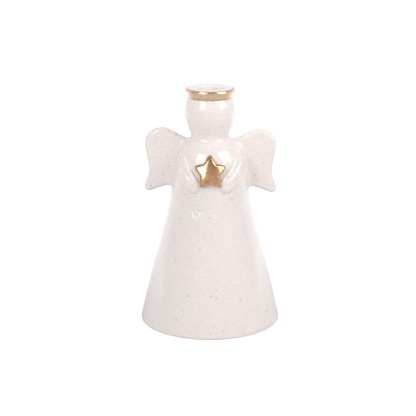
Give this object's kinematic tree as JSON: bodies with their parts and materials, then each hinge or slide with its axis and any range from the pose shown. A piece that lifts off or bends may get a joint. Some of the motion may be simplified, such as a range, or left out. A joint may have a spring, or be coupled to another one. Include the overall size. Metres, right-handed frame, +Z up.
{
  "type": "angel candle holder",
  "caption": "Glazed ceramic angel figure with a bell-shaped hollow robe, flat wings and a raised star; a round socket in the top of the head holds a taper candle.",
  "frame": {"origin": "centre of the foot, on the surface that the figure stands on", "axes": "+Z up through the candle socket, -Y out of the chest towards the viewer, +X to the viewer's right"},
  "size_m": [0.1182, 0.1182, 0.2],
  "materials": {
    "glaze": "glossy cream glaze with fine reddish-brown specks",
    "gold_lustre": "hand-painted gold lustre on the halo and the star",
    "bare_foot": "unglazed clay where the foot ring was wiped clean"
  },
  "bodies": {
    "root": {"angel": "glaze"}
  },
  "joints": []
}
